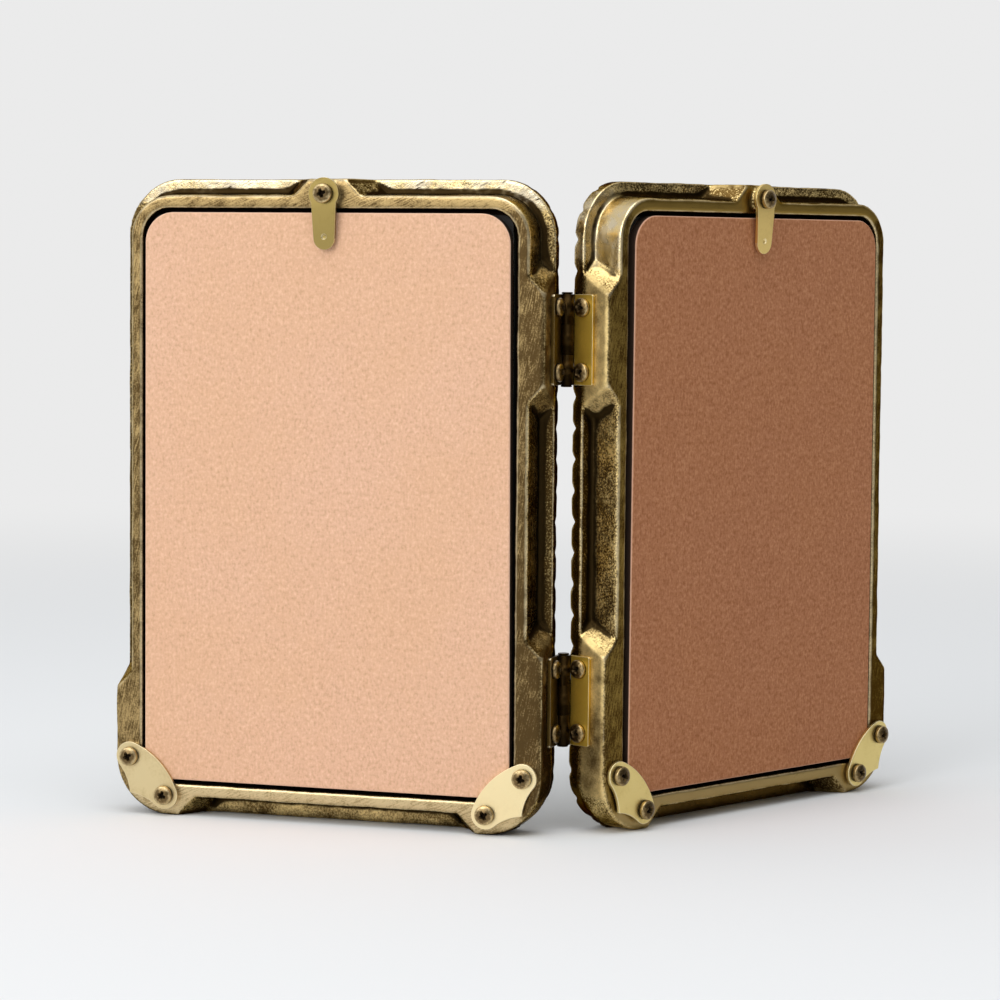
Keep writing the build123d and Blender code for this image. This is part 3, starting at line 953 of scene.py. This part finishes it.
@dataclass
class ButtHinge:
    """One butt hinge: a leaf on each half, and the pin."""

    height: Height
    places: Sequence[HalfPlace]
    leaf_ease: float = 0.12 * MM
    pin_ease: float = 0.25 * MM
    barrel_reach: float = 2.7 * MM
    knuckle_radius: float = 1.9 * MM
    knuckle_crown: float = 0.09 * MM
    knuckle_stretch: float = 0.06 * MM
    knuckle_fit: float = 0.03 * MM
    leaf_end: float = 0.5 * MM

    def fill_knuckles(self, mesh: Mesh, hand: int) -> None:
        """Takes most of the play out of the knuckles, round them and between their ends.

        Args:
            mesh: A leaf's mesh, changed in place.
            hand: The sign of X on which the leaf's plate lies.
        """
        heights = points_in(mesh)[:, 2]
        low, high = heights.min() + self.leaf_end, heights.max() - self.leaf_end
        ends = {}
        for face in mesh.polygons:
            spots = [mesh.vertices[index].co for index in face.vertices]
            inner = all(low < spot.z < high and spot.xy.length < self.barrel_reach for spot in spots)
            if inner and abs(face.normal.z) > 0.9:
                ends.update({index: face.normal.z for index in face.vertices})
        for vertex in mesh.vertices:
            radius = vertex.co.xy.length
            vertex.co.z += self.knuckle_stretch * ends.get(vertex.index, 0.0)
            free = vertex.co.x * hand < self.knuckle_radius * 0.9
            if free and abs(radius - self.knuckle_radius) < self.knuckle_fit:
                vertex.co.xy *= 1.0 + self.knuckle_crown / radius

    def grime(self, mesh: Mesh) -> None:
        """Marks the faces round the pin, which get painted shade."""
        near = [math.hypot(*face.center[:2]) < self.barrel_reach for face in mesh.polygons]
        set_attribute(mesh, "barrel", near, "FACE")

    def build(self, finishes: Mapping[Side, Material]) -> None:
        """Makes the leaves and the pin.

        Args:
            finishes: The material of each half's leaf.
        """
        height = self.height.value
        for place in self.places:
            node = f"{height}_hinge_{place.label}_leaf"
            mesh = place.mesh_of(node)
            self.fill_knuckles(mesh, place.side.value)
            ease_edges(mesh, self.leaf_ease, keep=self.barrel_reach)
            mark_rims(mesh, self.leaf_ease)
            self.grime(mesh)
            name = f"{height}_{place.label}_hinge_plate"
            even_shading(place.add(name, mesh, "hinge_brass", finishes[place.side], node))
        node = f"{height}_hinge_pin"
        first = self.places[0]
        mesh = first.mesh_of(node)
        ease_edges(mesh, self.pin_ease, 3)
        self.grime(mesh)
        even_shading(first.add(f"{height}_rivet_pin", mesh, "hinge_brass", finishes[first.side], node))


@dataclass(frozen=True)
class PanScrew:
    """A pan-head screw with a cross recess, along Z, with its head's seat at the origin."""

    head_radius: float = 2.6 * MM
    head_height: float = 2.1 * MM
    dome: float = 0.8 * MM
    brim: float = 0.45 * MM
    shank_radius: float = 1.3 * MM
    shank_length: float = 8.5 * MM
    arm: float = 1.45 * MM
    arm_width: float = 0.78 * MM
    throat: float = 0.56 * MM
    recess_depth: float = 1.25 * MM
    recess_taper: float = 0.42
    recess_ease: float = 0.07 * MM
    punch_over: float = 0.4 * MM
    punch_flare: float = 1.18
    seat_ease: float = 0.1 * MM
    sides: int = 40
    brim_steps: int = 5
    dome_steps: int = 6
    top_radius: float = 2.0 * MM

    def crown(self, radius: np.ndarray) -> np.ndarray:
        """The height of the domed top at each radius."""
        curve = (self.head_radius**2 + self.dome**2) / (2 * self.dome)
        return self.head_height - curve + np.sqrt(np.maximum(curve**2 - radius**2, 0.0))

    def profile(self) -> list[tuple[float, float]]:
        """Half of the screw's outline, as radius and height, from the tip to the crown."""
        foot = self.head_height - self.dome - self.brim
        inner = self.head_radius - self.brim
        points = [(0.0, -self.shank_length), (self.shank_radius, -self.shank_length)]
        points += [(self.shank_radius, 0.0), (self.head_radius - self.seat_ease, 0.0)]
        points += [(self.head_radius, self.seat_ease), (self.head_radius, foot)]
        rise = self.crown(inner) - foot
        for step in range(1, self.brim_steps):
            share = step / self.brim_steps
            points.append((self.head_radius - self.brim * share**2, foot + rise * (1 - (1 - share) ** 2)))
        for step in range(self.dome_steps):
            radius = inner * (1 - step / self.dome_steps)
            points.append((radius, self.crown(radius)))
        points.append((0.0, self.head_height))
        return points

    def turned(self) -> Mesh:
        """The screw turned on a lathe, with no recess yet."""
        mesh = bpy.data.meshes.new("turned_screw")
        work = bmesh.new()
        chain = [work.verts.new((radius, 0.0, height)) for radius, height in self.profile()]
        edges = [work.edges.new(pair) for pair in zip(chain, chain[1:])]
        bmesh.ops.spin(
            work,
            geom=chain + edges,
            axis=(0, 0, 1),
            cent=(0, 0, 0),
            steps=self.sides,
            angle=math.tau,
        )
        bmesh.ops.remove_doubles(work, verts=work.verts, dist=WELD)
        bmesh.ops.recalc_face_normals(work, faces=work.faces)
        return written(work, mesh)

    def cross(self) -> Mesh:
        """The cross-shaped punch that sinks the recess."""
        side = self.arm_width / 2
        quarter = [Vector(spot) for spot in ((self.arm, -side), (self.arm, side), (self.throat, self.throat))]
        turns = [Matrix.Rotation(turn * math.pi / 2, 2) for turn in range(4)]
        outline = [turn @ spot for turn in turns for spot in quarter]
        mesh = bpy.data.meshes.new("cross_punch")
        work = bmesh.new()
        floor = (self.head_height - self.recess_depth, self.recess_taper)
        above = (self.head_height + self.punch_over, self.punch_flare)
        rings = [
            [work.verts.new((*(spot * scale), height)) for spot in outline] for height, scale in (floor, above)
        ]
        work.faces.new(reversed(rings[0]))
        work.faces.new(rings[1])
        for index in range(len(outline)):
            after = (index + 1) % len(outline)
            work.faces.new((rings[0][index], rings[0][after], rings[1][after], rings[1][index]))
        bmesh.ops.recalc_face_normals(work, faces=work.faces)
        return written(work, mesh)

    def mesh(self) -> Mesh:
        """The finished screw, with wear and a painted highlight on its top, grime and painted shade in its recess,
        and painted shade under its brim.
        """
        blank = placed("scratch", self.turned())
        punch = placed("scratch", self.cross())
        cut = blank.modifiers.new("recess", "BOOLEAN")
        cut.operation = "DIFFERENCE"
        cut.solver = "EXACT"
        cut.object = punch
        mesh = evaluated_mesh(blank)
        bpy.data.objects.remove(blank)
        bpy.data.objects.remove(punch)
        ease_edges(mesh, self.recess_ease)
        points = points_in(mesh)
        radius = np.hypot(points[:, 0], points[:, 1])
        below = self.crown(radius) - points[:, 2]
        # Grime and painted shade in the recess, painted shade down the sides under the brim, and wear with a painted
        # highlight round the top
        sunk = smooth_step(below, 0.05 * MM, 0.35 * MM) * (radius < self.top_radius)
        side = smooth_step(below, 0.35 * MM, 0.9 * MM) * (radius >= self.top_radius)
        set_attribute(mesh, "grime", np.maximum(sunk, 0.9 * side))
        set_attribute(mesh, "rub", 0.75 * smooth_step(radius, 1.2 * MM, self.head_radius) * (1 - side))
        return mesh


@dataclass
class ScrewSet:
    """The screws of one node, each turned its own way."""

    place: HalfPlace
    node: str
    master: Mesh
    head_height: float
    driven_from_spine: bool
    turn: float
    turn_apart: float = 2.4
    screw_gap: float = 1.5 * MM

    def spots(self) -> list[np.ndarray]:
        """The points of each screw of the node, split where no point lies between their heights."""
        points = self.place.points_of(self.node)
        points = points[np.argsort(points[:, 2])]
        gaps = np.diff(points[:, 2])
        widest = int(np.argmax(gaps))
        one_screw = gaps[widest] < self.screw_gap
        return [points] if one_screw else [points[: widest + 1], points[widest + 1 :]]

    def stance(self, points: np.ndarray) -> Matrix:
        """Where one screw stands.

        Args:
            points: The points of its solid.

        Returns:
            From the screw's own axes to the half's.
        """
        low, high = Vector(points.min(0)), Vector(points.max(0))
        seat = (low + high) / 2
        if self.driven_from_spine:
            hand = self.place.side.value
            seat.x = (low.x if hand > 0 else high.x) + hand * self.head_height
            lean = Matrix.Rotation(-hand * math.pi / 2, 4, "Y")
        else:
            seat.y = low.y + self.head_height
            lean = Matrix.Rotation(math.pi / 2, 4, "X")
        return Matrix.Translation(seat) @ lean

    def build(self, finish: Material) -> None:
        """Makes the set as one piece.

        Args:
            finish: Its material.
        """
        mesh = bpy.data.meshes.new(f"{self.node}_set")
        work = bmesh.new()
        for index, points in enumerate(self.spots()):
            single = self.master.copy()
            twist = Matrix.Rotation(self.turn + index * self.turn_apart, 4, "Z")
            single.transform(self.stance(points) @ twist)
            work.from_mesh(single)
            bpy.data.meshes.remove(single)
        written(work, mesh)
        name = self.node.replace("_screw", "_pan_head")
        even_shading(self.place.add(name, mesh, "screw_brass", finish, self.node))


@dataclass
class PictureStack:
    """A half's board, print and glass.

    The board's skew is how much further its spine side reaches, at the foot and at the head.
    """

    place: HalfPlace
    board_skew: Span
    board_ease: float = 0.4 * MM
    glass_ease: float = 0.15 * MM

    def skew_board(self, mesh: Mesh) -> None:
        """Lets the board's spine side run askew in the pocket's play, as a hand-cut board does."""
        points = points_in(mesh)
        low, high = points.min(0), points.max(0)
        middle = (low + high) / 2
        hand = self.place.side.value
        foot, head = self.board_skew
        for vertex in mesh.vertices:
            if vertex.co.x * hand < middle[0] * hand:
                share = (vertex.co.z - low[2]) / (high[2] - low[2])
                vertex.co.x -= hand * (foot + (head - foot) * share)

    def build(self, board: Material, paper: Material, glass: Material) -> None:
        """Makes the three layers.

        Args:
            board: The board's material.
            paper: The print's material.
            glass: The glass's material.
        """
        label = self.place.label
        node = f"{label}_backing_board"
        mesh = self.place.mesh_of(node)
        self.skew_board(mesh)
        ease_edges(mesh, self.board_ease, 3)
        set_attribute(mesh, "edge", 1.0 - np.abs(normals_in(mesh)[:, 1]))
        even_shading(self.place.add(f"{label}_kraft_board", mesh, "kraft_board", board, node))
        node = f"{label}_photo_sheet"
        mesh = self.place.mesh_of(node)
        depth = points_in(mesh)[:, 1]
        set_attribute(mesh, "reverse", depth < depth.mean())
        self.place.add(f"{label}_blank_print", mesh, "photo_paper", paper, node)
        node = f"{label}_glass_pane"
        mesh = self.place.mesh_of(node)
        ease_edges(mesh, self.glass_ease, 1)
        set_attribute(mesh, "ground", [abs(face.normal.y) < 0.95 for face in mesh.polygons], "FACE")
        even_shading(self.place.add(f"{label}_cut_glass", mesh, "clear_glass", glass, node))


@dataclass(frozen=True)
class StudioLamp:
    """A soft lamp that looks at the middle of the frame."""

    name: str
    place: Triple
    size: float
    power: float

    def build(self, target: Vector) -> None:
        """Hangs the lamp.

        Args:
            target: The point that it looks at.
        """
        data = bpy.data.lights.new(self.name, "AREA")
        data.shape = "DISK"
        data.size = self.size
        data.energy = self.power
        lamp = placed(self.name, data)
        lamp.location = self.place
        lamp.rotation_euler = (target - Vector(self.place)).to_track_quat("-Z", "Y").to_euler()
        LOG.info("lamp %s at %s", self.name, self.place)


@dataclass(frozen=True)
class Studio:
    """A pale floor that runs into the backdrop, a soft room and the camera."""

    backdrop: float = 0.83
    floor_tone: Colour = (0.792, 0.810, 0.826)
    floor_radius: float = 8.0
    fade_start: float = 0.28
    fade_end: float = 1.15
    room_low: float = 0.12
    room_left: float = 0.62
    room_behind: float = 0.62
    room_over: float = 0.58
    camera_place: Triple = (-0.2255, -0.8477, 0.1510)
    camera_heading: float = 14.20
    camera_pitch: float = 4.23
    camera_roll: float = 0.51
    camera_lens: float = 116.68

    def sight(self, paint: Paint) -> tuple[Signal, Signal]:
        """Rays that see the backdrop: straight or through glass, and by a reflection.

        Args:
            paint: The tree that asks.

        Returns:
            Whether the ray is of the first kind, and of the second.
        """
        straight = paint.node("ShaderNodeLightPath", output="Is Camera Ray")
        outputs = straight.socket.node.outputs
        through = Signal(paint, outputs["Is Transmission Ray"])
        return straight.most(through), Signal(paint, outputs["Is Glossy Ray"])

    def world(self) -> None:
        """Fills the room: bright on the left, behind and overhead, dim on the right and in front."""
        world = bpy.data.worlds.new("studio")
        world.use_nodes = True
        bpy.context.scene.world = world
        paint = Paint(world.node_tree)
        way = paint.node("ShaderNodeTexCoord", output="Generated")
        axes = [paint.node("ShaderNodeSeparateXYZ", {}, {0: way}, output=axis) for axis in range(3)]
        left = (0.0 - axes[0]).step(-0.1, 0.95) * self.room_left
        behind = axes[1].step(0.05, 0.75) * self.room_behind
        over = axes[2].step(0.15, 0.95) * self.room_over
        room = left.most(behind).most(over) + self.room_low
        seen, mirrored = self.sight(paint)
        shown = seen.most(mirrored * axes[1].step(0.0, 0.5))
        colour = paint.mix(shown, room, (self.backdrop,) * 3)
        light = paint.node("ShaderNodeBackground", {}, {"Color": colour, "Strength": 1.0})
        paint.node("ShaderNodeOutputWorld", {}, {"Surface": light})

    def floor(self) -> None:
        """Lays the floor, which fades into the backdrop far from the frame."""
        material, paint = new_paint("pale_floor")
        places = paint.own_axes()
        far = paint.node("ShaderNodeVectorMath", {"operation": "LENGTH"}, {0: places}, output="Value")
        mottle = paint.cloud(places, 3.0, 2.0, 0.5)
        tone = paint.mix(mottle, self.floor_tone, [1.01 * part for part in self.floor_tone])
        matt = paint.node("ShaderNodeBsdfDiffuse", {}, {"Color": tone})
        glow = paint.node("ShaderNodeEmission", {}, {"Color": rgba((self.backdrop,) * 3), "Strength": 1.0})
        seen, mirrored = self.sight(paint)
        share = far.step(self.fade_start, self.fade_end) * seen.most(mirrored)
        shown = paint.node("ShaderNodeMixShader", {}, {0: share, 1: matt, 2: glow})
        paint.node("ShaderNodeOutputMaterial", {}, {"Surface": shown})
        mesh = bpy.data.meshes.new("pale_floor")
        work = bmesh.new()
        bmesh.ops.create_circle(work, cap_ends=True, segments=96, radius=self.floor_radius)
        written(work, mesh).materials.append(material)
        floor = placed("pale_floor", mesh)

    def camera(self) -> None:
        """Sets the camera where the photograph was taken from."""
        heading, pitch, roll = (
            math.radians(angle) for angle in (self.camera_heading, self.camera_pitch, self.camera_roll)
        )
        ahead = Vector(
            (math.sin(heading) * math.cos(pitch), math.cos(heading) * math.cos(pitch), -math.sin(pitch))
        )
        right = Vector((math.cos(heading), -math.sin(heading), 0.0))
        up = right.cross(ahead)
        across = right * math.cos(roll) + up * math.sin(roll)
        tall = up * math.cos(roll) - right * math.sin(roll)
        data = bpy.data.cameras.new("photo_camera")
        data.sensor_width = 36.0
        data.lens = self.camera_lens
        camera = placed("photo_camera", data)
        turned = Matrix((across, tall, -ahead)).transposed().to_4x4()
        camera.matrix_world = Matrix.Translation(self.camera_place) @ turned
        bpy.context.scene.camera = camera

    def build(self) -> None:
        """Builds the whole studio."""
        bpy.context.scene.view_settings.view_transform = "Standard"
        self.world()
        self.floor()
        self.camera()
        middle = (CAD_BOX[0] + CAD_BOX[1]) / 2
        lamps = [
            StudioLamp("key_lamp", (-1.28, -0.92, 0.88), 1.3, 12.0),
            StudioLamp("top_lamp", (-0.10, -0.42, 1.5), 1.3, 8.6),
        ]
        for lamp in lamps:
            lamp.build(middle)


@dataclass(frozen=True)
class Workshop:
    """Every finish of the frame, and the work of dressing it.

    The halves' finishes differ as the photograph shows them: lit and shaded copies of one finish, with painted light
    and shade.
    """

    first_turn: float = 0.3
    next_turn: float = 0.9
    skews: tuple[Span, Span] = ((1.3 * MM, 0.3 * MM), (0.6 * MM, 0.0))

    def casts(self) -> dict[Side, CastBrass]:
        """The castings' finishes: the right half's is a shaded copy, darker on its filed back as painted shade, with
        its own shares of painted light and shade.
        """
        right = CastBrass(
            "right_cast_brass",
            filed=(0.072, 0.040, 0.010),
            brushed=(0.28, 0.185, 0.050),
            body=(0.10, 0.058, 0.016),
            spark=(0.85, 0.64, 0.28),
            shoulder_highlight=0.6,
            sill_reflection=0.3,
            level_painted_light=0.75,
            upright_painted_light=-0.15,
            spine_painted_light=0.2,
            flank_painted_light=0.15,
            under_shade=0.5,
        )
        return {Side.LEFT: CastBrass("left_cast_brass", crown_highlight_and_scratches=0.6), Side.RIGHT: right}

    def plates(self, side: Side) -> dict[Corner, SatinBrass]:
        """The finishes of one half's corner plates, each with its body and its smudges; the bodies differ by corner
        and half as painted light and shade.
        """
        tones = {
            (Side.LEFT, Corner.OUTER): ((0.72, 0.585, 0.325), (0.52, 0.40, 0.195)),
            (Side.LEFT, Corner.INNER): ((0.96, 0.81, 0.47), (0.88, 0.73, 0.41)),
            (Side.RIGHT, Corner.OUTER): ((0.85, 0.68, 0.27), (0.72, 0.56, 0.20)),
            (Side.RIGHT, Corner.INNER): ((0.85, 0.68, 0.27), (0.72, 0.56, 0.20)),
        }
        label = side.name.lower()
        return {
            corner: SatinBrass(f"{label}_{corner.value}_sheet_brass", *tones[side, corner]) for corner in Corner
        }

    def strips(self) -> dict[Side, SatinBrass]:
        """The clips' finishes: a shaded copy for the left clip and a lit copy for the right, as painted shade and
        light.
        """
        return {
            Side.LEFT: SatinBrass("left_strip_brass", (0.33, 0.245, 0.080), (0.26, 0.19, 0.060)),
            Side.RIGHT: SatinBrass("right_strip_brass", (0.88, 0.65, 0.23), (0.76, 0.55, 0.19)),
        }

    def leaves(self) -> dict[Side, SatinBrass]:
        """The hinge leaves' finishes: a shaded copy, near black, for the left leaves and the pins, and a lit copy
        for the right, as painted shade and light.
        """
        left = SatinBrass("left_hinge_brass", (0.20, 0.130, 0.034), (0.13, 0.080, 0.022), roughness=0.34)
        right = SatinBrass("right_hinge_brass", (0.80, 0.54, 0.085), (0.64, 0.41, 0.06), roughness=0.45)
        return {Side.LEFT: left, Side.RIGHT: right}

    def boards(self) -> dict[Side, KraftBoard]:
        """The boards' finishes: the right board is a shaded copy of the left, darker and more saturated as painted
        shade.
        """
        left = KraftBoard(
            "left_kraft",
            body=(0.77, 0.472, 0.315),
            pale=(0.865, 0.56, 0.395),
            dark=(0.64, 0.378, 0.232),
            wear_and_highlight=(0.84, 0.56, 0.41),
        )
        right = KraftBoard(
            "right_kraft",
            body=(0.445, 0.186, 0.086),
            pale=(0.54, 0.25, 0.127),
            dark=(0.345, 0.131, 0.054),
            wear_and_highlight=(0.78, 0.47, 0.33),
            contrast=1.6,
        )
        return {Side.LEFT: left, Side.RIGHT: right}

    def dress_halves(self, places: Sequence[HalfPlace]) -> None:
        """Makes the castings, plates, clips, boards, prints and panes.

        Args:
            places: The two halves.
        """
        casts, strips, boards = self.casts(), self.strips(), self.boards()
        glass = ClearGlass().material()
        paper = PhotoPaper().material()
        for place, skew in zip(places, self.skews):
            side = place.side
            CastHalf(place).build(casts[side].material())
            plates = {corner: finish.material() for corner, finish in self.plates(side).items()}
            SheetFittings(place).build(plates, strips[side].material())
            PictureStack(place, skew).build(boards[side].material(), paper, glass)

    def hang(self, places: Sequence[HalfPlace]) -> None:
        """Makes the hinges.

        Args:
            places: The two halves.
        """
        finishes = {side: finish.material() for side, finish in self.leaves().items()}
        for height in Height:
            ButtHinge(height, places).build(finishes)

    def drive_screws(self, places: Sequence[HalfPlace]) -> None:
        """Makes the screws, each half's first from the back and then from the spine.

        Args:
            places: The two halves.
        """
        # Lit and shaded copies: the right half's screws are darker and the left leaves' darkest, as painted shade
        left = DarkScrewBrass("left_screw_brass")
        right = DarkScrewBrass("right_screw_brass", (0.11, 0.072, 0.030), (0.50, 0.37, 0.18))
        dark = DarkScrewBrass("dark_screw_brass", (0.05, 0.032, 0.014), (0.32, 0.23, 0.11))
        back_screw = PanScrew()
        leaf_screw = PanScrew(
            head_radius=2.5 * MM,
            head_height=1.7 * MM,
            shank_length=6.5 * MM,
            recess_depth=1.0 * MM,
        )
        back_mesh, leaf_mesh = back_screw.mesh(), leaf_screw.mesh()
        turn = self.first_turn
        for place, finish in zip(places, (left, right)):
            back_finish = finish.material()
            leaf_finish = dark.material() if place.side is Side.LEFT else back_finish
            for node in ("clip_screw", "outer_plate_screws", "inner_plate_screws"):
                name = f"{place.label}_{node}"
                ScrewSet(place, name, back_mesh, back_screw.head_height, False, turn).build(back_finish)
                turn += self.next_turn
            for height in Height:
                name = f"{height.value}_hinge_{place.label}_screws"
                ScrewSet(place, name, leaf_mesh, leaf_screw.head_height, True, turn).build(leaf_finish)
                turn += self.next_turn


def main() -> None:
    """Builds the studio and every piece of the frame."""
    logging.basicConfig(level=logging.INFO, format="%(name)s: %(message)s")
    Studio().build()
    places = [HalfPlace(side) for side in Side]
    workshop = Workshop()
    workshop.dress_halves(places)
    workshop.hang(places)
    workshop.drive_screws(places)


if __name__ == "__main__":
    main()
